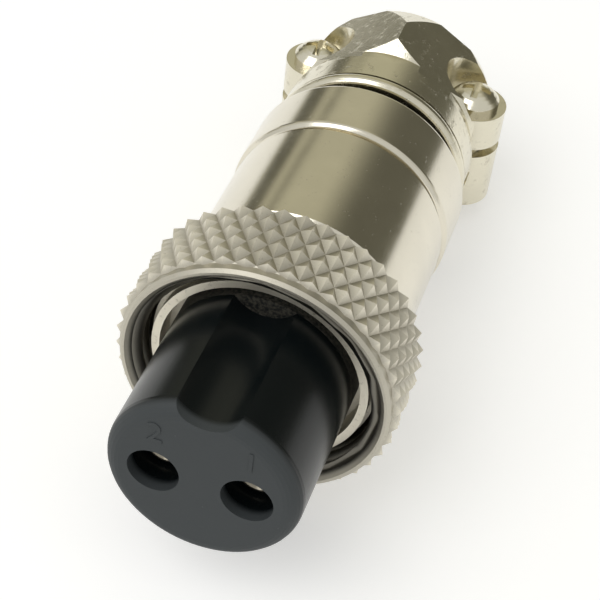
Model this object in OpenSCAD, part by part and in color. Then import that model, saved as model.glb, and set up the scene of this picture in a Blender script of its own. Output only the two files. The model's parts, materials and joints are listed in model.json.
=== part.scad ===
// Two-contact aviation plug: a cable plug with a knurled coupling nut.
// The plug's axis is Y. The contacts face -Y and the cable leaves towards +Y.
// The origin is on the axis, where the coupling nut's thread starts behind the
// chamfer of its mouth. +Z is the side of the keyway and of the screws' heads.
// All sizes are in millimetres.

/* [Coupling nut] */
// Major diameter of the coupling thread
thread_d = 16; // [15:0.1:18]
// Height of the coupling thread from root to crest
thread_h = 0.54; // [0.4:0.01:0.7]
// Length of the coupling nut
nut_len = 6.1; // [5.6:0.1:8]
// Wall between the thread's root and the knurl's valleys
nut_wall = 0.8; // [0.7:0.05:1.2]
// Height of the knurl's pyramids
knurl_h = 0.4; // [0.25:0.05:0.6]
// Pyramids in one turn of the knurl
knurl_count = 42; // [32:1:56]
// Half pitches of the knurl along the nut
knurl_rows = 5; // [3:1:7]
// Length of the smooth rim in front of the knurl
rim_len = 0.75; // [0.6:0.05:1.2]
// Chamfer at the thread's mouth
mouth_chamfer = 0.35; // [0.2:0.05:0.5]

/* [Snap ring] */
// Thickness of the snap ring that holds the nut on the shell
snap_t = 0.7; // [0.5:0.05:0.9]
// Radial bite of the snap ring into the nut's groove
snap_bite = 0.3; // [0.2:0.05:0.4]
// Gap between the snap ring's ends
snap_gap = 2.2; // [1.5:0.1:4]
// Thickness of the nut's wall behind the snap ring
nut_lip_t = 0.75; // [0.5:0.05:1]

/* [Front shell] */
// Room between the nut's thread and the insert for the mating shell
mate_room = 2; // [1.7:0.05:2.3]
// Wall of the shell round the insert
shell_wall = 0.65; // [0.5:0.05:0.8]
// Distance from the nut's front face back to the shell's front ring
ring_set = 1.2; // [0.8:0.1:1.6]
// Length of the front ring
ring_len = 1; // [0.7:0.1:1.4]
// Step from the shell's neck up to the front ring
ring_step = 0.36; // [0.2:0.02:0.5]
// Width of the shadow gap between the insert and the front ring
ring_gap = 0.5; // [0.3:0.05:0.6]
// Thickness of the flange that stops the snap ring
flange_t = 0.8; // [0.6:0.05:1.1]
// Depth of the insert's seat behind the ring's front
seat_depth = 6.8; // [6:0.1:8]
// Thickness of the web that the insert seats on
web_t = 0.9; // [0.6:0.1:1.2]
// Wall of the threaded tail that carries the barrel
tail_wall = 0.95; // [0.8:0.05:1.1]
// Height of the tail's thread from root to crest
tail_thread_h = 0.4; // [0.25:0.05:0.45]
// Length of the threaded tail inside the barrel
tail_len = 5.7; // [5:0.1:7]

/* [Insert] */
// How far the insert stands out of the nut's front face
insert_reach = 8.7; // [7:0.1:10]
// Radius of the rounded edge round the insert's face
insert_edge = 1; // [0.6:0.1:1.4]
// Length of the insert's rear boss
boss_len = 3; // [2.4:0.1:4]
// Thickness of the clip that holds the insert in the shell
clip_t = 0.6; // [0.4:0.05:0.8]
// Height of the clip above the boss
clip_h = 0.5; // [0.3:0.05:0.6]
// Width of the keyway at the insert's side
key_w = 3.9; // [3:0.1:4.4]
// Depth of the keyway below the insert's side
key_depth = 1.3; // [0.9:0.1:1.6]
// Distance between the two contact holes
hole_pitch = 5.7; // [5:0.1:6]
// Diameter of a contact hole in the face
hole_d = 3.2; // [3:0.1:3.6]

/* [Contacts] */
// Diameter of the mating pin that a contact takes
pin_d = 2; // [1.6:0.1:2.1]
// Wall of the split socket
socket_wall = 0.42; // [0.3:0.02:0.46]
// Depth of the socket's mouth below the insert's face
socket_set = 2; // [1:0.1:2.6]
// Depth of the socket's bore
socket_depth = 6.5; // [5:0.1:7.5]
// Full length of the split socket
socket_len = 8.2; // [8:0.1:9.5]
// Width of the slot that splits the socket
slot_w = 0.35; // [0.2:0.05:0.5]
// Length of the slot
slot_len = 5; // [3:0.1:6]
// Diameter of the contact's shank
shank_d = 2.4; // [2.2:0.1:2.6]
// Bore of the solder cup
cup_bore_d = 1.7; // [1.2:0.1:1.8]
// Depth of the solder cup
cup_depth = 3.2; // [2:0.1:3.6]
// Length of the contact's tail behind the insert
contact_tail = 4; // [3.8:0.1:6]

/* [Barrel] */
// Free travel of the nut back to the barrel
nut_play = 1.2; // [0.8:0.1:1.6]
// Wall of the barrel at its thinnest
barrel_wall = 0.98; // [0.8:0.02:1.4]
// Length of the barrel
barrel_len = 14.6; // [13.8:0.1:20]
// Length of the raised band at the barrel's rear
band_len = 4.9; // [4:0.1:7]
// Height of the raised band
band_step = 0.2; // [0.1:0.05:0.5]
// Radius of the band's rounded front edge
band_edge = 0.45; // [0.3:0.05:0.6]
// Width of the groove in front of the band
groove_w = 0.3; // [0.2:0.05:0.6]
// Depth of the groove below the barrel's front part
groove_depth = 0.3; // [0.2:0.05:0.5]
// Length of the lip that is rolled in behind the clamp's flange
lip_len = 1.1; // [0.8:0.1:1.6]

/* [Cable clamp] */
// Largest cable that passes through the clamp
cable_d = 8.2; // [6:0.1:9]
// Wall of the clamp's neck
neck_wall = 1.4; // [1:0.1:1.8]
// Height of the flange on the clamp's neck
clamp_flange_h = 0.5; // [0.3:0.05:0.7]
// Thickness of the flange on the clamp's neck
clamp_flange_t = 1; // [0.7:0.1:1.5]
// Open neck between the barrel and the clamp's collar
neck_gap = 1.4; // [1:0.1:2.5]
// Length of the rounded collar
collar_len = 0.9; // [0.9:0.1:1.6]
// Height of the collar above the hexagon's flats
collar_h = 0.65; // [0.4:0.05:0.9]
// Length of the round band on the saddle
saddle_band_len = 2.2; // [1.5:0.1:3]
// Length of the hexagon
hex_len = 7.1; // [6.6:0.1:9]
// Length of the waist in front of the hexagon's chamfer
waist_len = 1.3; // [0.8:0.1:1.6]
// Length of the hexagon's ridges between their chamfers
ridge_len = 2.3; // [1.5:0.1:3]
// Wall between the cable and the hexagon's flats
hex_wall = 2.5; // [2.2:0.1:3]
// Gap between the clamp's two halves
split_gap = 0.7; // [0.4:0.1:1.2]
// Depth of the flat under the clamp, from the axis
base_flat = 6.3; // [6.1:0.05:7.4]

/* [Clamp screws] */
// Thread diameter of the clamp screws
screw_d = 2; // [1.6:0.1:2.2]
// Height of the screws' thread from root to crest
screw_thread_h = 0.24; // [0.15:0.01:0.3]
// Length of the screws under the head
screw_len = 7; // [6:0.1:8]
// Diameter of the screw heads
head_d = 3.5; // [3.2:0.1:4]
// Height of the screw heads
head_h = 1.35; // [1.1:0.05:1.6]
// Width of the cross recess's slots
recess_w = 0.5; // [0.3:0.05:0.7]
// Depth of the cross recess
recess_depth = 0.7; // [0.4:0.05:0.9]
// Wall between the cable and the screws
screw_edge = 0.85; // [0.8:0.05:1.4]
// Wall round the screws in the ears
ear_wall = 1.35; // [1:0.05:1.6]
// Thickness of the saddle's ears
ear_t = 2.55; // [1.8:0.05:3]
// Height of the base's ears
base_ear_t = 4.45; // [4:0.05:5.5]
// Distance from the saddle's front to the screws
screw_set = 6.1; // [5.8:0.1:6.6]

/* [Hidden] */
$fn = 96;

// Clearances
press_gap = 0.01;
thread_gap = 0.03;
turn_gap = 0.05;
slide_gap = 0.1;
flange_clearance = 0.14;
seam = 0.1;

// Coupling nut
nut_y0 = -mouth_chamfer;
nut_y1 = nut_y0 + nut_len;
thread_r = thread_d / 2;
valley_r = thread_r + nut_wall;
crest_r = valley_r + knurl_h;
rim_r = valley_r - 0.08;
knurl_run = 0.3;
knurl_y0 = nut_y0 + rim_len;
knurl_y1 = nut_y1 - knurl_run - 0.05;
rim_chamfer = 0.2;

// Front shell
insert_r = thread_r - mate_room;
shell_bore_r = insert_r + press_gap;
shell_neck_r = shell_bore_r + shell_wall;
ring_out_r = shell_neck_r + ring_step;
ring_in_r = insert_r + ring_gap;
flange_r = thread_r - thread_h - flange_clearance;
ring_y0 = nut_y0 + ring_set;
flange_y0 = ring_y0 + ring_len;
flange_y1 = flange_y0 + flange_t;
seat_y = ring_y0 + seat_depth;
web_y = seat_y + web_t;
barrel_y0 = nut_y1 + nut_play;
tail_r = shell_neck_r - 0.18;
tail_root_r = tail_r - tail_thread_h;
tail_bore_r = tail_r - tail_wall;
tail_y1 = barrel_y0 + tail_len;

// Snap ring
groove_y1 = nut_y1 - nut_lip_t;
groove_y0 = groove_y1 - snap_t - 2 * turn_gap;
snap_groove_r = thread_r + snap_bite + turn_gap;
nut_lip_r = flange_r + slide_gap;

// Insert
insert_y0 = nut_y0 - insert_reach;
insert_y1 = seat_y + boss_len;
boss_r = tail_bore_r - clip_h - slide_gap;
web_bore_r = boss_r + press_gap;
clip_y0 = web_y + press_gap;
clip_groove_r = boss_r - 0.4;
key_half = key_w / 2;
key_chord_z = sqrt(insert_r * insert_r - key_half * key_half);
key_rise = key_chord_z - (insert_r - key_depth);
key_r = (key_half * key_half + key_rise * key_rise) / (2 * key_rise);
key_z = insert_r - key_depth + key_r;

// Contacts
pin_r = pin_d / 2;
socket_r = pin_r + socket_wall;
socket_y0 = insert_y0 + socket_set;
socket_y1 = socket_y0 + socket_len;
shank_r = shank_d / 2;
cup_y1 = insert_y1 + contact_tail;

// Cable clamp
cable_r = cable_d / 2;
clamp_neck_r = cable_r + neck_wall;
clamp_flange_r = clamp_neck_r + clamp_flange_h;
cavity_r = clamp_flange_r + slide_gap + 0.1;
lip_r = clamp_neck_r + slide_gap + turn_gap;
barrel_y1 = barrel_y0 + barrel_len;
lip_y0 = barrel_y1 - lip_len;
clamp_flange_y1 = lip_y0 - slide_gap;
clamp_flange_y0 = clamp_flange_y1 - clamp_flange_t;
collar_y0 = barrel_y1 + neck_gap;
collar_y1 = collar_y0 + collar_len;
saddle_y0 = collar_y1 + seam;
hex_y0 = saddle_y0 + saddle_band_len;
hex_y1 = hex_y0 + hex_len;
hex_flat_r = cable_r + hex_wall;
hex_corner_r = hex_flat_r / cos(30);
collar_r = hex_flat_r + collar_h;
saddle_band_r = collar_r - seam;

// Barrel
tap_r = tail_r + thread_gap;
tap_y1 = tail_y1 + 0.3;
barrel_r = max(tap_r, cavity_r) + barrel_wall;
band_r = barrel_r + band_step;
band_y0 = barrel_y1 - band_len;
edge_break = 0.3;

// Clamp screws
screw_r = screw_d / 2;
screw_root_r = screw_r - screw_thread_h;
head_r = head_d / 2;
screw_x = cable_r + screw_edge + screw_r;
screw_y = saddle_y0 + screw_set;
ear_r = screw_r + ear_wall;
ear_top = split_gap / 2 + ear_t;
ear_bottom = split_gap / 2 + base_ear_t;
relief_r = ear_r + 0.05;
screw_hole_r = screw_r + slide_gap;
screw_tap_r = screw_r + turn_gap;

// Longer than anything on the plug, for cuts that run right through
far = 60;

// Points of an arc from angle a0 to a1 round the centre (r, y)
function arc(r, y, radius, a0, a1, steps = 6) =
    [for (i = [0 : steps]) let (a = a0 + (a1 - a0) * i / steps)
        [r + radius * cos(a), y + radius * sin(a)]];

// One ring of the knurl, with points that alternate between two radii
function knurl_ring(r_even, r_odd, y) =
    [for (i = [0 : 2 * knurl_count - 1]) let (a = 180 * i / knurl_count, r = i % 2 == 0 ? r_even : r_odd)
        [r * cos(a), y, r * sin(a)]];

// A solid turned about the plug's axis from an outline of [radius, y] points
module turned(outline) {
    rotate([-90, 0, 0])
        rotate_extrude()
            polygon(outline);
}

// A round bar or hole along the plug's axis
module bar(r, y0, y1) {
    translate([0, y0, 0])
        rotate([-90, 0, 0])
            cylinder(r = r, h = y1 - y0);
}

// Everything above, or below, a height
module above(z) {
    translate([-far, -far, z])
        cube([2 * far, 3 * far, far]);
}

module below(z) {
    translate([-far, -far, z - far])
        cube([2 * far, 3 * far, far]);
}

// The diamond knurl: a band of pyramids with their bases sunk in the nut
module knurl_band() {
    sunk_r = rim_r - 0.2;
    inner_r = rim_r - 0.4;
    row_h = (knurl_y1 - knurl_y0) / knurl_rows;
    front = [knurl_ring(inner_r, inner_r, knurl_y0 - knurl_run),
             knurl_ring(sunk_r, sunk_r, knurl_y0 - knurl_run)];
    rows = [for (j = [0 : knurl_rows])
        knurl_ring(j % 2 == 0 ? valley_r : crest_r, j % 2 == 0 ? crest_r : valley_r, knurl_y0 + j * row_h)];
    back = [knurl_ring(sunk_r, sunk_r, knurl_y1 + knurl_run),
            knurl_ring(inner_r, inner_r, knurl_y1 + knurl_run)];
    rings = concat(front, rows, back);
    n = 2 * knurl_count;
    m = len(rings);
    points = [for (ring = rings) each ring];
    faces = [for (k = [0 : m - 1], i = [0 : n - 1])
        let (a = k * n + i,
             b = k * n + (i + 1) % n,
             c = ((k + 1) % m) * n + (i + 1) % n,
             d = ((k + 1) % m) * n + i)
        each (i + k) % 2 == 0 ? [[a, b, c], [a, c, d]] : [[a, b, d], [b, c, d]]];
    polyhedron(points = points, faces = faces, convexity = 8);
}

module coupling_nut() {
    color("silver")
        union() {
            turned([
                [thread_r, 0],
                [thread_r + mouth_chamfer, nut_y0],
                [rim_r - rim_chamfer, nut_y0],
                [rim_r, nut_y0 + rim_chamfer],
                [rim_r, nut_y1 - rim_chamfer],
                [rim_r - rim_chamfer, nut_y1],
                [nut_lip_r, nut_y1],
                [nut_lip_r, groove_y1],
                [snap_groove_r, groove_y1],
                [snap_groove_r, groove_y0],
                [thread_r, groove_y0]
            ]);
            knurl_band();
        }
}

module nut_snap_ring() {
    color("lightgray")
        difference() {
            turned([
                [shell_neck_r + slide_gap, groove_y0 + turn_gap],
                [snap_groove_r - turn_gap, groove_y0 + turn_gap],
                [snap_groove_r - turn_gap, groove_y1 - turn_gap],
                [shell_neck_r + slide_gap, groove_y1 - turn_gap]
            ]);
            translate([-snap_gap / 2, 0, -far])
                cube([snap_gap, 2 * far, far]);
        }
}

module front_shell() {
    color("silver")
        turned([
            [ring_in_r, ring_y0],
            [ring_out_r, ring_y0],
            [ring_out_r, flange_y0],
            [flange_r, flange_y0],
            [flange_r, flange_y1],
            [shell_neck_r, flange_y1],
            [shell_neck_r, barrel_y0],
            [tail_root_r, barrel_y0],
            [tail_root_r, tail_y1],
            [tail_bore_r, tail_y1],
            [tail_bore_r, web_y],
            [web_bore_r, web_y],
            [web_bore_r, seat_y],
            [shell_bore_r, seat_y],
            [shell_bore_r, flange_y1],
            [ring_in_r, flange_y1]
        ]);
}

// Holes for one contact: a wide one for the socket, then one for the shank
module contact_hole(side) {
    translate([side * hole_pitch / 2, 0, 0]) {
        bar(hole_d / 2, insert_y0 - 1, socket_y1);
        bar(shank_r + press_gap, socket_y1 - 1, insert_y1 + 1);
    }
}

module insert() {
    color("dimgray")
        difference() {
            turned(concat(
                [[0, insert_y0]],
                arc(insert_r - insert_edge, insert_y0 + insert_edge, insert_edge, -90, 0),
                [
                    [insert_r, seat_y],
                    [boss_r, seat_y],
                    [boss_r, clip_y0 - press_gap],
                    [clip_groove_r, clip_y0 - press_gap],
                    [clip_groove_r, clip_y0 + clip_t + press_gap],
                    [boss_r, clip_y0 + clip_t + press_gap],
                    [boss_r, insert_y1],
                    [0, insert_y1]
                ]
            ));
            translate([0, 0, key_z])
                bar(key_r, insert_y0 - 1, ring_y0);
            for (side = [-1, 1])
                contact_hole(side);
        }
}

// The clip behind the shell's web, open at the bottom so that it springs on
module insert_clip() {
    clip_mouth = 0.8 * clip_groove_r;
    color("lightgray")
        difference() {
            turned([
                [clip_groove_r + press_gap, clip_y0],
                [boss_r + clip_h, clip_y0],
                [boss_r + clip_h, clip_y0 + clip_t],
                [clip_groove_r + press_gap, clip_y0 + clip_t]
            ]);
            translate([-clip_mouth / 2, 0, -far])
                cube([clip_mouth, 2 * far, far]);
        }
}

// A turned contact: a split socket, a shank and a solder cup that opens upwards
module contact(side) {
    lead_in = 0.15;
    translate([side * hole_pitch / 2, 0, 0])
        difference() {
            turned([
                [pin_r + lead_in, socket_y0],
                [socket_r - lead_in, socket_y0],
                [socket_r, socket_y0 + lead_in],
                [socket_r, socket_y1],
                [shank_r, socket_y1],
                [shank_r, cup_y1],
                [cup_bore_d / 2, cup_y1],
                [cup_bore_d / 2, cup_y1 - cup_depth],
                [0, cup_y1 - cup_depth],
                [0, socket_y0 + socket_depth],
                [pin_r, socket_y0 + socket_depth],
                [pin_r, socket_y0 + lead_in]
            ]);
            translate([-socket_r - 1, socket_y0 - 1, -slot_w / 2])
                cube([2 * socket_r + 2, slot_len + 1, slot_w]);
            translate([-shank_r - 1, cup_y1 - 0.7 * cup_depth, 0.2 * shank_r])
                cube([2 * shank_r + 2, cup_depth, shank_d]);
        }
}

module contact_1() {
    color("khaki")
        contact(1);
}

module contact_2() {
    color("khaki")
        contact(-1);
}

module barrel() {
    color("silver")
        turned(concat(
            [
                [tap_r, barrel_y0],
                [barrel_r - edge_break, barrel_y0],
                [barrel_r, barrel_y0 + edge_break],
                [barrel_r, band_y0 - groove_w],
                [barrel_r - groove_depth, band_y0 - groove_w],
                [barrel_r - groove_depth, band_y0]
            ],
            arc(band_r - band_edge, band_y0 + band_edge, band_edge, -90, 0),
            arc(band_r - edge_break, barrel_y1 - edge_break, edge_break, 0, 90, 4),
            [
                [lip_r, barrel_y1],
                [lip_r, lip_y0],
                [cavity_r, lip_y0],
                [cavity_r, tap_y1],
                [tap_r, tap_y1]
            ]
        ));
}

// The clamp's hexagon: a round waist, a steep front chamfer and a long rear one
module hexagon() {
    waist_r = hex_flat_r + 0.15;
    rise = hex_corner_r - waist_r;
    ridge_y0 = hex_y0 + waist_len + rise;
    ridge_y1 = ridge_y0 + ridge_len;
    over = 0.1;
    intersection() {
        translate([0, hex_y0 - 1, 0])
            rotate([-90, 30, 0])
                cylinder(r = hex_corner_r, h = hex_len + 1, $fn = 6);
        turned([
            [0, hex_y0 - 1],
            [waist_r, hex_y0 - 1],
            [waist_r, ridge_y0 - rise],
            [hex_corner_r + over, ridge_y0 + over],
            [hex_corner_r + over, ridge_y1 - over * (hex_y1 - ridge_y1) / rise],
            [waist_r, hex_y1],
            [0, hex_y1]
        ]);
    }
}

module ears(z0, z1) {
    for (side = [-1, 1])
        translate([side * screw_x, screw_y, z0])
            cylinder(r = ear_r, h = z1 - z0);
}

module screw_holes(r) {
    for (side = [-1, 1])
        translate([side * screw_x, screw_y, -far / 2])
            cylinder(r = r, h = far);
}

module clamp_base() {
    collar_edge = 0.5;
    color("gainsboro")
        difference() {
            union() {
                turned(concat(
                    [
                        [0, clamp_flange_y0],
                        [clamp_flange_r, clamp_flange_y0],
                        [clamp_flange_r, clamp_flange_y1],
                        [clamp_neck_r, clamp_flange_y1],
                        [clamp_neck_r, collar_y0]
                    ],
                    arc(collar_r - collar_edge, collar_y0 + collar_edge, collar_edge, -90, 0),
                    arc(collar_r - edge_break, collar_y1 - edge_break, edge_break, 0, 90, 4),
                    [[0, collar_y1]]
                ));
                intersection() {
                    union() {
                        bar(saddle_band_r, collar_y1 - 1, hex_y0);
                        hexagon();
                    }
                    below(-split_gap / 2);
                }
                ears(-ear_bottom, -split_gap / 2);
            }
            bar(cable_r, clamp_flange_y0 - 1, hex_y1 + 1);
            screw_holes(screw_tap_r);
            below(-base_flat);
        }
}

module clamp_saddle() {
    color("gainsboro")
        difference() {
            union() {
                intersection() {
                    union() {
                        bar(saddle_band_r, saddle_y0, hex_y0);
                        hexagon();
                    }
                    above(split_gap / 2);
                }
                ears(split_gap / 2, ear_top);
            }
            bar(cable_r, saddle_y0 - 1, hex_y1 + 1);
            screw_holes(screw_hole_r);
            for (side = [-1, 1])
                translate([side * screw_x, screw_y, ear_top])
                    cylinder(r = relief_r, h = far);
        }
}

// A pan-head screw with a cross recess, its head seated on the saddle's ear
module clamp_screw(side) {
    side_h = 0.35 * head_h;
    crown_h = head_h - side_h;
    crown_r = (head_r * head_r + crown_h * crown_h) / (2 * crown_h);
    crown_a = asin(head_r / crown_r);
    tip_chamfer = 0.2;
    steps = 6;
    translate([side * screw_x, screw_y, ear_top])
        difference() {
            rotate_extrude()
                polygon(concat(
                    [
                        [0, -screw_len],
                        [screw_root_r - tip_chamfer, -screw_len],
                        [screw_root_r, -screw_len + tip_chamfer],
                        [screw_root_r, 0],
                        [head_r, 0]
                    ],
                    arc(0, head_h - crown_r, crown_r, 90 - crown_a, 90, steps)
                ));
            for (turn = [0, 90])
                rotate(turn)
                    translate([-0.6 * head_r, -recess_w / 2, head_h - recess_depth])
                        cube([1.2 * head_r, recess_w, recess_depth + 1]);
        }
}

module clamp_screw_left() {
    color("whitesmoke")
        clamp_screw(-1);
}

module clamp_screw_right() {
    color("whitesmoke")
        clamp_screw(1);
}

coupling_nut();
nut_snap_ring();
front_shell();
insert();
insert_clip();
contact_1();
contact_2();
barrel();
clamp_base();
clamp_saddle();
clamp_screw_left();
clamp_screw_right();
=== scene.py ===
import json
import math

import bmesh
import bpy
from mathutils import Matrix, Vector

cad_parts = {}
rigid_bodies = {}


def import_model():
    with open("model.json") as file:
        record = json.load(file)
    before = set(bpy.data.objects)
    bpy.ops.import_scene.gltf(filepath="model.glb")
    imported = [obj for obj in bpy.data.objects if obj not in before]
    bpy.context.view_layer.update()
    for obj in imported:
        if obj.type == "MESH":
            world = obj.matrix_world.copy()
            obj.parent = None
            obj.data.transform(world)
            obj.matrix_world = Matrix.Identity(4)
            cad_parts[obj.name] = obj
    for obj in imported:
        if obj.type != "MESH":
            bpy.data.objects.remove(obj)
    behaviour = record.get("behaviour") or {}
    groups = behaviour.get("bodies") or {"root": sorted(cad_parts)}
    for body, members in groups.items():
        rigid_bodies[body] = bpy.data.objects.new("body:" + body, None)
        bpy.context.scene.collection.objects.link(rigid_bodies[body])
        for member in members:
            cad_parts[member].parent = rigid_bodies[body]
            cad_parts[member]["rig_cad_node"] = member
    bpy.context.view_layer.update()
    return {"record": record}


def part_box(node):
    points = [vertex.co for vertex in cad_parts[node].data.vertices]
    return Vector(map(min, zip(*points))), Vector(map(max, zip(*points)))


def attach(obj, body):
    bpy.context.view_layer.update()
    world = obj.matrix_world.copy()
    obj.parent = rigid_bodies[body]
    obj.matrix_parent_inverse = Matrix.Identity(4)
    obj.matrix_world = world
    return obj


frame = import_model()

bl_info = {
    "name": "Aviation plug dressing",
    "version": (1, 0, 0),
    "blender": (4, 5, 0),
    "location": "3D View > Sidebar > Plug",
    "description": "Threads, markings, finishes and a studio for the packed aviation plug",
    "category": "Object",
}

MM = 0.001


# ---------------------------------------------------------------- settings


class PlugThreads(bpy.types.PropertyGroup):
    nut_pitch: bpy.props.FloatProperty(
        name="Nut pitch", description="Pitch of the coupling nut's thread, in millimetres", default=1.0, min=0.5, max=1.5)
    nut_depth: bpy.props.FloatProperty(
        name="Nut depth", description="Depth of the coupling nut's thread, in millimetres", default=0.54, min=0.3, max=0.7)
    shell_pitch: bpy.props.FloatProperty(
        name="Shell pitch", description="Pitch of the thread between shell and barrel, in millimetres", default=0.75,
        min=0.5, max=1.0)
    shell_diameter: bpy.props.FloatProperty(
        name="Shell diameter", description="Diameter over the shell's thread, in millimetres", default=12.92, min=11.0,
        max=15.0)
    shell_depth: bpy.props.FloatProperty(
        name="Shell depth", description="Depth of the thread between shell and barrel, in millimetres", default=0.38,
        min=0.2, max=0.45)
    screw_pitch: bpy.props.FloatProperty(
        name="Screw pitch", description="Pitch of the clamp screws, in millimetres", default=0.4, min=0.3, max=0.5)
    screw_diameter: bpy.props.FloatProperty(
        name="Screw diameter", description="Diameter over the clamp screws' thread, in millimetres", default=2.0,
        min=1.6, max=2.2)
    screw_depth: bpy.props.FloatProperty(
        name="Screw depth", description="Depth of the clamp screws' thread, in millimetres", default=0.24, min=0.1,
        max=0.3)


class PlugMarks(bpy.types.PropertyGroup):
    height: bpy.props.FloatProperty(
        name="Digit height", description="Height of the contact numbers, in millimetres", default=1.45, min=0.8, max=2.5)
    relief: bpy.props.FloatProperty(
        name="Digit relief", description="How far the numbers stand out of the face, in millimetres", default=0.035,
        min=0.02, max=0.15)
    rise: bpy.props.FloatProperty(
        name="Digit rise", description="Distance of the numbers above the contact holes' centres, in millimetres",
        default=2.55, min=1.5, max=4.0)


class PlugFinish(bpy.types.PropertyGroup):
    nickel: bpy.props.FloatVectorProperty(
        name="Nickel", description="Colour of the nickel plate", default=(0.73, 0.69, 0.585), size=3, subtype="COLOR",
        min=0.0, max=1.0)
    warm_nickel: bpy.props.FloatVectorProperty(
        name="Warm nickel", description="Colour of the plate on the clamp and the screws", default=(0.76, 0.72, 0.59),
        size=3, subtype="COLOR", min=0.0, max=1.0)
    moulding: bpy.props.FloatVectorProperty(
        name="Moulding", description="Colour of the insert", default=(0.0032, 0.0052, 0.0058), size=3, subtype="COLOR",
        min=0.0, max=1.0)
    moulded_face: bpy.props.FloatVectorProperty(
        name="Moulded face", description="Colour of the insert's matt face", default=(0.044, 0.050, 0.053), size=3,
        subtype="COLOR", min=0.0, max=1.0)
    # Painted shade: the contacts' colour is kept well below bright plating, for the dark holes they sit in.
    contact: bpy.props.FloatVectorProperty(
        name="Contact", description="Colour of the contacts' plating", default=(0.34, 0.31, 0.25), size=3,
        subtype="COLOR", min=0.0, max=1.0)
    spring: bpy.props.FloatVectorProperty(
        name="Spring steel", description="Colour of the snap ring and the clip", default=(0.42, 0.42, 0.41), size=3,
        subtype="COLOR", min=0.0, max=1.0)


class PlugStudio(bpy.types.PropertyGroup):
    azimuth: bpy.props.FloatProperty(
        name="Azimuth", description="Camera's turn round the plug", default=math.radians(13.523), subtype="ANGLE")
    elevation: bpy.props.FloatProperty(
        name="Elevation", description="Camera's height angle", default=math.radians(42.681), subtype="ANGLE")
    roll: bpy.props.FloatProperty(
        name="Roll", description="Camera's roll to the left", default=math.radians(7.401), subtype="ANGLE")
    distance: bpy.props.FloatProperty(
        name="Distance", description="Camera's distance from the point it looks at", default=0.098, subtype="DISTANCE")
    lens: bpy.props.FloatProperty(
        name="Lens", description="Focal length, in millimetres", default=96.0, subtype="DISTANCE_CAMERA")
    aim: bpy.props.FloatVectorProperty(
        name="Aim", description="Point that the camera looks at", default=(0.00113, 0.00461, 0.00319), size=3,
        subtype="XYZ_LENGTH")
    key: bpy.props.FloatProperty(
        name="Key lamp", description="Power of the large lamp, in watts", default=0.62, min=0.0)
    sky: bpy.props.FloatVectorProperty(
        name="Sky", description="Colour of the surrounding light", default=(0.72, 0.72, 0.70), size=3, subtype="COLOR")
    sky_behind: bpy.props.FloatVectorProperty(
        name="Sky behind", description="Colour of the light behind the plug", default=(0.53, 0.51, 0.385), size=3,
        subtype="COLOR")
    dusk: bpy.props.FloatVectorProperty(
        name="Dusk", description="Colour of the dark patches in the sky", default=(0.13, 0.125, 0.095), size=3,
        subtype="COLOR")


# ------------------------------------------------------------- shader maths


class Shade:
    """A value in a shader. Arithmetic on it adds Math nodes to its material."""

    def __init__(self, graph, socket):
        self.graph = graph
        self.socket = socket

    def __add__(self, other):
        return self.graph.sum("ADD", self, other)

    def __radd__(self, other):
        return self.graph.sum("ADD", other, self)

    def __sub__(self, other):
        return self.graph.sum("SUBTRACT", self, other)

    def __rsub__(self, other):
        return self.graph.sum("SUBTRACT", other, self)

    def __mul__(self, other):
        return self.graph.sum("MULTIPLY", self, other)

    def __rmul__(self, other):
        return self.graph.sum("MULTIPLY", other, self)

    def __truediv__(self, other):
        return self.graph.sum("DIVIDE", self, other)

    def __rtruediv__(self, other):
        return self.graph.sum("DIVIDE", other, self)

    def __pow__(self, other):
        return self.graph.sum("POWER", self, other)


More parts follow.
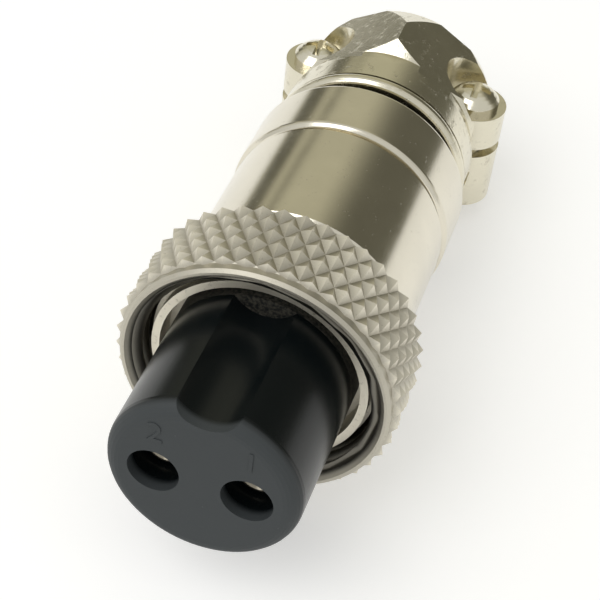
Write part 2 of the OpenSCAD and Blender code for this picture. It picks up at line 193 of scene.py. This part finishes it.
class Graph:
    """The node tree of a material or a world, filled by its one add method."""

    def __init__(self, owner):
        owner.use_nodes = True
        self.owner = owner
        self.tree = owner.node_tree
        self.tree.nodes.clear()

    def add(self, kind, settings=None, sockets=None, out=0):
        """Adds a node and returns its output, several where out is a tuple, or none where out is None."""
        node = self.tree.nodes.new(kind)
        for name, value in (settings or {}).items():
            if name == "stops":
                ramp = node.color_ramp.elements
                while len(ramp) < len(value):
                    ramp.new(0.5)
                for stop, (place, colour) in zip(ramp, value):
                    stop.position = place
                    stop.color = (*colour, 1.0)
            else:
                setattr(node, name, value)
        for key, value in (sockets or {}).items():
            self.feed(node.inputs[key], value)
        if out is None:
            return None
        if isinstance(out, tuple):
            return tuple(Shade(self, node.outputs[key]) for key in out)
        return Shade(self, node.outputs[out])

    def feed(self, socket, value):
        if isinstance(value, Shade):
            self.tree.links.new(value.socket, socket)
        elif socket.type == "RGBA":
            socket.default_value = (*value[:3], 1.0)
        else:
            socket.default_value = value

    def sum(self, operation, *values, clamp=False):
        return self.add("ShaderNodeMath", {"operation": operation, "use_clamp": clamp}, dict(enumerate(values)))

    def ramp(self, value, low, high, start=0.0, end=1.0):
        """Goes smoothly from start to end while value goes from low to high."""
        return self.add("ShaderNodeMapRange", {"interpolation_type": "SMOOTHSTEP"},
                        {"Value": value, "From Min": low, "From Max": high, "To Min": start, "To Max": end})

    def blend(self, factor, first, second):
        """A colour between two others."""
        return self.add("ShaderNodeMix", {"data_type": "RGBA"}, {0: factor, 6: first, 7: second}, out=2)

    def place(self, centre=(0.0, 0.0, 0.0)):
        """Object coordinates in millimetres from a point given in millimetres, and their parts."""
        where = self.add("ShaderNodeTexCoord", out="Object")
        scaled = self.add("ShaderNodeVectorMath", {"operation": "MULTIPLY_ADD"},
                          {0: where, 1: (1000.0, 1000.0, 1000.0), 2: tuple(-c for c in centre)})
        x, y, z = self.add("ShaderNodeSeparateXYZ", None, {0: scaled}, out=("X", "Y", "Z"))
        return scaled, x, y, z

    def radius(self, a, b):
        return (a * a + b * b) ** 0.5

    def noise(self, vector, scale, detail=3.0, rough=0.55, warp=0.0):
        return self.add("ShaderNodeTexNoise", None, {
            "Vector": vector, "Scale": scale, "Detail": detail, "Roughness": rough, "Distortion": warp}, out=0)

    def cells(self, vector, scale, feature="F1"):
        return self.add("ShaderNodeTexVoronoi", {"feature": feature}, {"Vector": vector, "Scale": scale},
                        out="Distance")

    def stretched(self, vector, factors):
        return self.add("ShaderNodeVectorMath", {"operation": "MULTIPLY"}, {0: vector, 1: factors})

    def bump(self, height, depth, strength=1.0, under=None):
        """A bump whose height of 1 stands for a depth in millimetres."""
        sockets = {"Height": height, "Distance": depth * MM, "Strength": strength}
        if under is not None:
            sockets["Normal"] = under
        return self.add("ShaderNodeBump", None, sockets)

    def finish(self, **sockets):
        """Ends the material with a Principled shader. An underscore in a name stands for a space."""
        shader = self.add("ShaderNodeBsdfPrincipled", None, {
            name.replace("_", " "): value for name, value in sockets.items()})
        return self.end(shader)

    def end(self, shader, kind="ShaderNodeOutputMaterial"):
        self.add(kind, None, {"Surface": shader}, out=None)
        return self.owner


def paint(name):
    """The node tree of a new material."""
    return Graph(bpy.data.materials.new(name))


# ---------------------------------------------------------------- finishes


def plated_metal(name, colour, rough=0.2, pits=0.5, turning=0.0, wear=0.0, grain=0.0):
    """Nickel plate with pits, turning lines about the plug's axis, and worn or grainy patches."""
    g = paint(name)
    where, x, y, z = g.place()
    clouds = g.noise(where, 0.35, detail=4.0)
    fine = g.noise(where, 6.0, detail=5.0, rough=0.6)
    specks = g.ramp(g.cells(where, 3.2), 0.16, 0.05)
    spotty = g.ramp(g.noise(where, 0.9), 0.48, 0.62)
    pitting = specks * spotty * pits
    tone = g.blend(clouds, tuple(c * 0.90 for c in colour), tuple(min(c * 1.08, 1.0) for c in colour))
    tone = g.blend(pitting * 0.55, tone, (0.10, 0.09, 0.07))
    roughness = rough + clouds * 0.06 + fine * 0.05 + pitting * 0.25
    height = fine * 0.25 - pitting
    if turning:
        rings = g.noise(g.stretched(where, (0.02, 9.0, 0.02)), 1.0, detail=2.0)
        height = height + rings * turning
        roughness = roughness + rings * 0.05 * turning
    if grain:
        coarse = g.noise(where, 2.2, detail=6.0, rough=0.7)
        height = height + coarse * grain * 4.0
        roughness = roughness + coarse * 0.25 * grain
        tone = g.blend(g.ramp(coarse, 0.56, 0.70) * grain, tone, (0.22, 0.20, 0.13))
    if wear:
        roughness = roughness + g.ramp(g.noise(where, 0.5, detail=5.0), 0.45, 0.7) * wear
    return g.finish(Base_Color=tone, Metallic=1.0, Roughness=roughness, Normal=g.bump(height, 0.006))


def knurled_metal(name, colour, crest, valley, bore):
    """Nickel plate on the knurl: duller in its valleys, with painted shade darkening its valleys and blackening its
    bore.
    """
    g = paint(name)
    where, x, y, z = g.place()
    out = g.radius(x, z)
    depth = g.ramp(out, valley - 0.05, crest - 0.02)
    clouds = g.noise(where, 0.5, detail=4.0)
    fine = g.noise(where, 7.0, detail=4.0, rough=0.65)
    # Painted shade: the valleys are painted at seven tenths of the plate's colour, rising to the full colour on the
    # points.
    low = tuple(c * 0.70 for c in colour)
    tone = g.blend(depth, low, colour)
    tone = g.blend(g.ramp(fine, 0.60, 0.72) * 0.35, tone, (0.16, 0.145, 0.10))
    # Painted shade: the nut's bore is painted nearly black.
    inside = g.ramp(out, bore + 0.30, bore + 0.05) * g.ramp(y, -0.30, 0.05)
    tone = g.blend(inside, tone, (0.030, 0.029, 0.026))
    roughness = 0.40 - depth * 0.06 + clouds * 0.08 + fine * 0.08
    return g.finish(Base_Color=tone, Metallic=1.0, Roughness=roughness, Normal=g.bump(fine, 0.010))


def moulded_black(name, colour, pale, face_y, end_y):
    """Black moulding: matt on its face, smooth with flow marks on its sides, grainy where the keyway ends."""
    g = paint(name)
    where, x, y, z = g.place()
    face = g.ramp(y, face_y + 0.95, face_y + 0.40)
    end = g.ramp(y, end_y - 0.06, end_y - 0.01)
    fine = g.noise(where, 5.0, detail=5.0, rough=0.65)
    flow = g.noise(g.stretched(where, (1.0, 0.25, 1.0)), 0.9, detail=4.0)
    dust = g.ramp(g.cells(where, 1.6), 0.10, 0.04) * g.ramp(flow, 0.55, 0.7)
    tone = g.blend(face, colour, pale)
    tone = g.blend(dust * 0.20, tone, (0.25, 0.25, 0.24))
    tone = g.blend(end * g.ramp(fine, 0.35, 0.65), tone, (0.060, 0.056, 0.045))
    roughness = 0.20 + face * 0.34 + fine * 0.06 + flow * 0.05 + end * 0.25
    height = fine * (0.3 + face * 0.7) + flow * 0.6
    return g.finish(Base_Color=tone, Roughness=roughness, IOR=1.36, Normal=g.bump(height, 0.008))


def clamp_metal(name, colour, neck_r, collar_y):
    """Cast nickel plate, with painted shade making the neck in front of the collar nearly black."""
    g = paint(name)
    where, x, y, z = g.place()
    # Painted shade: the neck in the gap between the barrel and the collar is painted nearly black.
    neck = g.ramp(y, collar_y + 0.02, collar_y - 0.02) * g.ramp(g.radius(x, z), neck_r + 1.6, neck_r + 0.2)
    clouds = g.noise(where, 0.4, detail=4.0)
    fine = g.noise(where, 5.0, detail=5.0, rough=0.6)
    casting = g.ramp(g.noise(where, 1.6, detail=5.0, rough=0.65), 0.54, 0.72)
    tone = g.blend(clouds, tuple(c * 0.88 for c in colour), tuple(min(c * 1.06, 1.0) for c in colour))
    tone = g.blend(casting * 0.30, tone, (0.24, 0.22, 0.15))
    tone = g.blend(neck, tone, (0.025, 0.023, 0.018))
    roughness = 0.13 + clouds * 0.05 + fine * 0.05 + casting * 0.14 + neck * 0.2
    return g.finish(Base_Color=tone, Metallic=1.0, Roughness=roughness, Normal=g.bump(fine * 0.4 - casting, 0.008))


def contact_metal(name, colour):
    """Plated contact, drawn bright, with faint marks along it."""
    g = paint(name)
    where, x, y, z = g.place()
    lines = g.noise(g.stretched(where, (3.0, 0.3, 3.0)), 2.0, detail=3.0)
    stain = g.ramp(g.noise(where, 0.8), 0.45, 0.7)
    tone = g.blend(stain * 0.4, colour, tuple(c * 0.6 for c in colour))
    return g.finish(Base_Color=tone, Metallic=1.0, Roughness=0.22 + lines * 0.12, Normal=g.bump(lines, 0.004))


def spring_metal(name, colour):
    """Oiled spring steel with rolling marks."""
    g = paint(name)
    where, x, y, z = g.place()
    marks = g.noise(where, 3.0, detail=4.0)
    tone = g.blend(marks, tuple(c * 0.8 for c in colour), colour)
    return g.finish(Base_Color=tone, Metallic=1.0, Roughness=0.32 + marks * 0.15, Normal=g.bump(marks, 0.004))


# ------------------------------------------------------------------ pieces


def cad(node):
    """The CAD object of a node."""
    return next(o for o in bpy.context.scene.objects if o.get("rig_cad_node") == node)


def dress(node, material):
    """Gives a CAD node its finish."""
    thing = cad(node)
    if not thing.material_slots:
        thing.data.materials.append(material)
    for place in thing.material_slots:
        place.material = material


def low(node):
    """A node's lowest corner, in millimetres."""
    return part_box(node)[0] / MM


def high(node):
    """A node's highest corner, in millimetres."""
    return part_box(node)[1] / MM


def piece(name, mesh, material, body, smooth=True):
    """Turns a finished bmesh into a piece that rides on a body. The bmesh is in millimetres."""
    bmesh.ops.scale(mesh, vec=(MM, MM, MM), verts=mesh.verts)
    for face in mesh.faces:
        face.smooth = smooth
    data = bpy.data.meshes.new(name)
    mesh.to_mesh(data)
    mesh.free()
    thing = bpy.data.objects.new(name, data)
    bpy.context.scene.collection.objects.link(thing)
    data.materials.append(material)
    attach(thing, body)
    return thing


def thread(root, crest, start, end, pitch, turn=0.0, steps=64):
    """A right-hand thread ridge about +Y on a wall of radius root, trimmed flat at start and end.

    Its turns are counted from y = 0, so two threads of one pitch mesh where one is given half a turn."""
    mesh = bmesh.new()
    sunk = root + math.copysign(0.03, root - crest)
    first = (math.floor(start / pitch) - 1) * pitch
    turns = math.ceil((end - first) / pitch) + 1
    outline = ((sunk, -0.44), (root, -0.43), (crest, -0.07), (crest, 0.07), (root, 0.43), (sunk, 0.44))
    verts = [mesh.verts.new((radius, first + along * pitch, 0.0)) for radius, along in outline]
    edges = [mesh.edges.new((verts[i - 1], verts[i])) for i in range(len(verts))]
    bmesh.ops.rotate(mesh, verts=verts, cent=(0, 0, 0), matrix=Matrix.Rotation(turn, 3, "Y"))
    bmesh.ops.spin(mesh, geom=verts + edges, cent=(0, 0, 0), axis=(0, 1, 0), dvec=(0, pitch / steps, 0),
                   angle=2 * math.pi * turns, steps=steps * turns, use_duplicate=False)
    for level, side in ((start, -1), (end, 1)):
        bmesh.ops.bisect_plane(mesh, geom=mesh.verts[:] + mesh.edges[:] + mesh.faces[:], dist=1e-6,
                               plane_co=(0, level, 0), plane_no=(0, side, 0), clear_outer=True)
    bmesh.ops.holes_fill(mesh, edges=[e for e in mesh.edges if e.is_boundary], sides=0)
    bmesh.ops.recalc_face_normals(mesh, faces=mesh.faces)
    return mesh


class PLUG_OT_coupling_nut(bpy.types.Operator):
    """Finish the knurled nut and cut its inside thread"""
    bl_idname = "plug.coupling_nut"
    bl_label = "Coupling nut"

    def execute(self, context):
        sizes, finish = context.scene.plug_threads, context.scene.plug_finish
        crest = high("coupling_nut").x
        coupling = next(m for m in frame["record"]["mounts"] if m["name"] == "coupling_thread")
        root, length = coupling["dims"]["r_mm"], coupling["dims"]["length_mm"]
        # The knurl's finish paints shade into its valleys and its bore.
        dress("coupling_nut", knurled_metal("nut_finish", finish.nickel, crest, crest - 0.4, root))
        # Painted shade: the nut's inside thread gets its nickel at 0.22 of its brightness, for the deep inside of the
        # nut.
        turned = plated_metal("nut_thread_painted_shade", tuple(c * 0.22 for c in finish.nickel), rough=0.26, pits=0.3, turning=0.2)
        mesh = thread(root, root - sizes.nut_depth, 0.0, length, sizes.nut_pitch)
        piece("nut_thread", mesh, turned, "nut")
        return {"FINISHED"}


class PLUG_OT_front_shell(bpy.types.Operator):
    """Finish the front shell and its rings, and put the thread on its tail"""
    bl_idname = "plug.front_shell"
    bl_label = "Front shell"

    def execute(self, context):
        sizes, finish = context.scene.plug_threads, context.scene.plug_finish
        metal = plated_metal("shell_finish", tuple(c * 1.05 for c in finish.nickel), rough=0.36, pits=0.9, turning=0.1,
                             grain=0.5)
        dress("front_shell", metal)
        dress("nut_snap_ring", spring_metal("ring_finish", finish.spring))
        dress("insert_clip", spring_metal("clip_finish", finish.spring))
        crest, start, end = sizes.shell_diameter / 2, low("barrel").y + 0.15, high("front_shell").y
        turned = plated_metal("shell_thread_finish", finish.nickel, rough=0.22, pits=0.2, turning=0.2)
        mesh = thread(crest - sizes.shell_depth, crest, start, end, sizes.shell_pitch)
        piece("shell_thread", mesh, turned, "shell")
        return {"FINISHED"}


class PLUG_OT_insert(bpy.types.Operator):
    """Finish the insert and its contacts, and raise the contact numbers on its face"""
    bl_idname = "plug.insert"
    bl_label = "Insert and contacts"

    def execute(self, context):
        marks, finish = context.scene.plug_marks, context.scene.plug_finish
        face_y, end_y = low("insert").y, low("front_shell").y
        black = moulded_black("insert_finish", finish.moulding, finish.moulded_face, face_y, end_y)
        dress("insert", black)
        # The contacts' colour carries painted shade for their deep holes.
        metal = contact_metal("contact_finish", finish.contact)
        for digit in ("1", "2"):
            node = "contact_" + digit
            dress(node, metal)
            centre = (low(node).x + high(node).x) / 2
            self.raise_digit(digit, centre, face_y, marks, black)
        return {"FINISHED"}

    def raise_digit(self, digit, x, face_y, marks, material):
        """One number, standing out of the face above its contact hole."""
        curve = bpy.data.curves.new("digit_curve_" + digit, "FONT")
        curve.body = digit
        curve.size = marks.height / 0.70
        curve.align_x = "CENTER"
        curve.extrude = marks.relief
        curve.bevel_depth = marks.relief * 0.5
        curve.bevel_resolution = 1
        holder = bpy.data.objects.new("digit_holder_" + digit, curve)
        bpy.context.scene.collection.objects.link(holder)
        bpy.context.view_layer.update()
        flat = holder.evaluated_get(bpy.context.evaluated_depsgraph_get())
        mesh = bmesh.new()
        mesh.from_mesh(flat.to_mesh())
        flat.to_mesh_clear()
        bpy.data.objects.remove(holder)
        bpy.data.curves.remove(curve)
        bmesh.ops.remove_doubles(mesh, verts=mesh.verts, dist=0.001)
        bmesh.ops.rotate(mesh, verts=mesh.verts, cent=(0, 0, 0), matrix=Matrix.Rotation(math.pi / 2, 3, "X"))
        bmesh.ops.translate(mesh, verts=mesh.verts, vec=(x, face_y, marks.rise))
        bmesh.ops.recalc_face_normals(mesh, faces=mesh.faces)
        piece("digit_" + digit, mesh, material, "shell", smooth=False)


class PLUG_OT_barrel(bpy.types.Operator):
    """Finish the barrel and cut the thread in its mouth"""
    bl_idname = "plug.barrel"
    bl_label = "Barrel"

    def execute(self, context):
        sizes, finish = context.scene.plug_threads, context.scene.plug_finish
        metal = plated_metal("barrel_finish", finish.nickel, rough=0.10, pits=1.0, turning=0.08)
        dress("barrel", metal)
        root, start, end = sizes.shell_diameter / 2 + 0.05, low("barrel").y, high("front_shell").y + 0.1
        turned = plated_metal("barrel_thread_finish", finish.nickel, rough=0.24, pits=0.2, turning=0.2)
        mesh = thread(root, root - sizes.shell_depth, start, end, sizes.shell_pitch, turn=math.pi)
        piece("barrel_thread", mesh, turned, "rear_barrel")
        return {"FINISHED"}


class PLUG_OT_clamp(bpy.types.Operator):
    """Finish the two halves of the cable clamp"""
    bl_idname = "plug.clamp"
    bl_label = "Cable clamp"

    def execute(self, context):
        finish = context.scene.plug_finish
        lip_y, collar_y = high("barrel").y, high("barrel").y + 1.4
        neck_r = next(m for m in frame["record"]["mounts"] if m["name"] == "cable_grip")["dims"]["r_mm"] + 1.4
        # The neck's radius and the collar's place bound the painted shade on the neck.
        metal = clamp_metal("clamp_finish", finish.warm_nickel, neck_r, (lip_y + collar_y) / 2 + 0.7)
        dress("clamp_base", metal)
        dress("clamp_saddle", metal)
        return {"FINISHED"}


class PLUG_OT_screws(bpy.types.Operator):
    """Finish the clamp screws and put the thread on their shafts"""
    bl_idname = "plug.screws"
    bl_label = "Clamp screws"

    def execute(self, context):
        sizes, finish = context.scene.plug_threads, context.scene.plug_finish
        metal = plated_metal("screw_finish", finish.warm_nickel, rough=0.12, pits=0.3)
        for side in ("left", "right"):
            node = "clamp_screw_" + side
            dress(node, metal)
            base, middle = low(node), (low(node) + high(node)) / 2
            seat = next(j for j in frame["record"]["behaviour"]["joints"] if j["name"] == f"screw_{side}_turn")
            length = seat["pos_m"][2] / MM - base.z
            crest = sizes.screw_diameter / 2
            mesh = thread(crest - sizes.screw_depth, crest, 0.25, length - 0.1, sizes.screw_pitch, steps=28)
            bmesh.ops.rotate(mesh, verts=mesh.verts, cent=(0, 0, 0), matrix=Matrix.Rotation(math.pi / 2, 3, "X"))
            bmesh.ops.translate(mesh, verts=mesh.verts, vec=(middle.x, middle.y, base.z))
            piece("thread_" + side, mesh, metal, "screw_" + side)
        return {"FINISHED"}


# ------------------------------------------------------------------- stage


def lamp(name, spot, target, width, height, power):
    """A rectangular lamp at one point, facing another. Places are in millimetres."""
    data = bpy.data.lights.new(name, "AREA")
    data.shape = "RECTANGLE"
    data.size, data.size_y = width * MM, height * MM
    data.energy = power
    thing = bpy.data.objects.new(name, data)
    bpy.context.scene.collection.objects.link(thing)
    spot, target = Vector(spot) * MM, Vector(target) * MM
    thing.location = spot
    thing.rotation_euler = (target - spot).to_track_quat("-Z", "Y").to_euler()
    return thing


def floor_shader():
    """A pale floor that shows white to the camera and in reflections, and keeps shadows."""
    g = paint("floor_paint")
    camera, glossy, clear = g.add("ShaderNodeLightPath", out=("Is Camera Ray", "Is Glossy Ray", "Is Transmission Ray"))
    shown = g.sum("MAXIMUM", g.sum("MAXIMUM", camera, glossy), clear)
    pale = g.add("ShaderNodeBsdfDiffuse", None, {"Color": (0.80, 0.80, 0.80)})
    glow = g.add("ShaderNodeEmission", None, {"Color": (1.0, 1.0, 1.0), "Strength": 0.36})
    both = g.add("ShaderNodeAddShader", None, {0: pale, 1: glow})
    return g.end(g.add("ShaderNodeMixShader", None, {0: shown, 1: pale, 2: both}))


def sky(studio):
    """A pale sky, warmer behind the plug, with a dark patch behind it on the right and two thin ones on the left."""
    g = Graph(bpy.data.worlds.new("studio_sky"))
    camera, clear = g.add("ShaderNodeLightPath", out=("Is Camera Ray", "Is Transmission Ray"))
    way = g.add("ShaderNodeTexCoord", out="Generated")
    x, y, z = g.add("ShaderNodeSeparateXYZ", None, {0: way}, out=("X", "Y", "Z"))
    toward = g.add("ShaderNodeVectorMath", {"operation": "DOT_PRODUCT"}, {0: way, 1: (0.55, 0.715, 0.43)}, out="Value")
    left = g.ramp(x, -0.30, -0.45) * g.ramp(y, 0.2, 0.5)
    low_band = g.ramp(z, 0.08, 0.12) * g.ramp(z, 0.32, 0.27)
    high_band = g.ramp(z, 0.37, 0.40) * g.ramp(z, 0.47, 0.44) * 0.7
    colour = g.blend(g.ramp(y, 0.0, 0.6), studio.sky, studio.sky_behind)
    colour = g.blend(g.ramp(toward, 0.76, 0.98), colour, studio.dusk)
    colour = g.blend((low_band + high_band) * left, colour, studio.dusk)
    dim = g.add("ShaderNodeBackground", None, {"Color": colour, "Strength": 1.0})
    white = g.add("ShaderNodeBackground", None, {"Color": (1.0, 1.0, 1.0), "Strength": 1.0})
    shown = g.sum("MAXIMUM", camera, clear)
    return g.end(g.add("ShaderNodeMixShader", None, {0: shown, 1: dim, 2: white}), "ShaderNodeOutputWorld")


class PLUG_OT_studio(bpy.types.Operator):
    """Lay the floor, light it and set the camera"""
    bl_idname = "plug.studio"
    bl_label = "Studio"

    def execute(self, context):
        studio = context.scene.plug_studio
        self.lay_floor(studio)
        self.light(context.scene, studio)
        self.set_camera(context.scene, studio)
        return {"FINISHED"}

    def lay_floor(self, studio):
        """The floor touches the nut's knurl and the flat under the clamp, so it leans with the plug."""
        front = Vector((0.0, high("coupling_nut").y - 0.35, low("coupling_nut").z))
        rear = Vector((0.0, high("clamp_base").y, low("clamp_base").z))
        lean = math.atan2(rear.z - front.z, rear.y - front.y)
        mesh = bmesh.new()
        bmesh.ops.create_grid(mesh, x_segments=1, y_segments=1, size=2.0)
        bmesh.ops.rotate(mesh, verts=mesh.verts, cent=(0, 0, 0), matrix=Matrix.Rotation(lean, 3, "X"))
        bmesh.ops.translate(mesh, verts=mesh.verts, vec=(front - Vector((0, 0, 0.01))) * MM)
        data = bpy.data.meshes.new("floor")
        mesh.to_mesh(data)
        mesh.free()
        floor = bpy.data.objects.new("floor", data)
        bpy.context.scene.collection.objects.link(floor)
        data.materials.append(floor_shader())

    def light(self, scene, studio):
        """One large soft lamp above, in front and to the left, under a pale sky."""
        lamp("key_lamp", (-170, -210, 330), (0, 12, 0), 320, 320, studio.key)
        scene.world = sky(studio)
        scene.view_settings.view_transform = "Standard"

    def set_camera(self, scene, studio):
        """The camera looks down on the plug from its contacts' end."""
        data = bpy.data.cameras.new("camera")
        data.sensor_width = 36.0
        data.lens = studio.lens
        data.clip_start, data.clip_end = 0.005, 10.0
        back = Vector((math.sin(studio.azimuth) * math.cos(studio.elevation),
                       -math.cos(studio.azimuth) * math.cos(studio.elevation),
                       math.sin(studio.elevation)))
        camera = bpy.data.objects.new("camera", data)
        scene.collection.objects.link(camera)
        level = (-back).to_track_quat("-Z", "Y").to_matrix().to_4x4()
        spin = Matrix.Rotation(studio.roll, 4, "Z")
        camera.matrix_world = Matrix.Translation(Vector(studio.aim) + back * studio.distance) @ level @ spin
        scene.camera = camera


# ------------------------------------------------------------------- panel


class PLUG_PT_panel(bpy.types.Panel):
    """Lists what can be made and its settings"""
    bl_idname = "PLUG_PT_panel"
    bl_label = "Aviation plug"
    bl_space_type = "VIEW_3D"
    bl_region_type = "UI"
    bl_category = "Plug"

    def draw(self, context):
        for group in (context.scene.plug_threads, context.scene.plug_marks, context.scene.plug_finish,
                      context.scene.plug_studio):
            box = self.layout.box()
            for name in group.__annotations__:
                box.prop(group, name)
        for operator in OPERATORS:
            self.layout.operator(operator.bl_idname)


SETTINGS = {
    "plug_threads": PlugThreads,
    "plug_marks": PlugMarks,
    "plug_finish": PlugFinish,
    "plug_studio": PlugStudio,
}
OPERATORS = (PLUG_OT_coupling_nut, PLUG_OT_front_shell, PLUG_OT_insert, PLUG_OT_barrel, PLUG_OT_clamp,
             PLUG_OT_screws, PLUG_OT_studio)


def register():
    for settings in SETTINGS.values():
        bpy.utils.register_class(settings)
    for thing in (*OPERATORS, PLUG_PT_panel):
        bpy.utils.register_class(thing)
    for name, settings in SETTINGS.items():
        setattr(bpy.types.Scene, name, bpy.props.PointerProperty(type=settings))


def unregister():
    for name in SETTINGS:
        delattr(bpy.types.Scene, name)
    for thing in (PLUG_PT_panel, *reversed(OPERATORS)):
        bpy.utils.unregister_class(thing)
    for settings in reversed(SETTINGS.values()):
        bpy.utils.unregister_class(settings)


def main():
    register()
    bpy.ops.plug.coupling_nut()
    bpy.ops.plug.front_shell()
    bpy.ops.plug.insert()
    bpy.ops.plug.barrel()
    bpy.ops.plug.clamp()
    bpy.ops.plug.screws()
    bpy.ops.plug.studio()


if __name__ == "__main__":
    main()
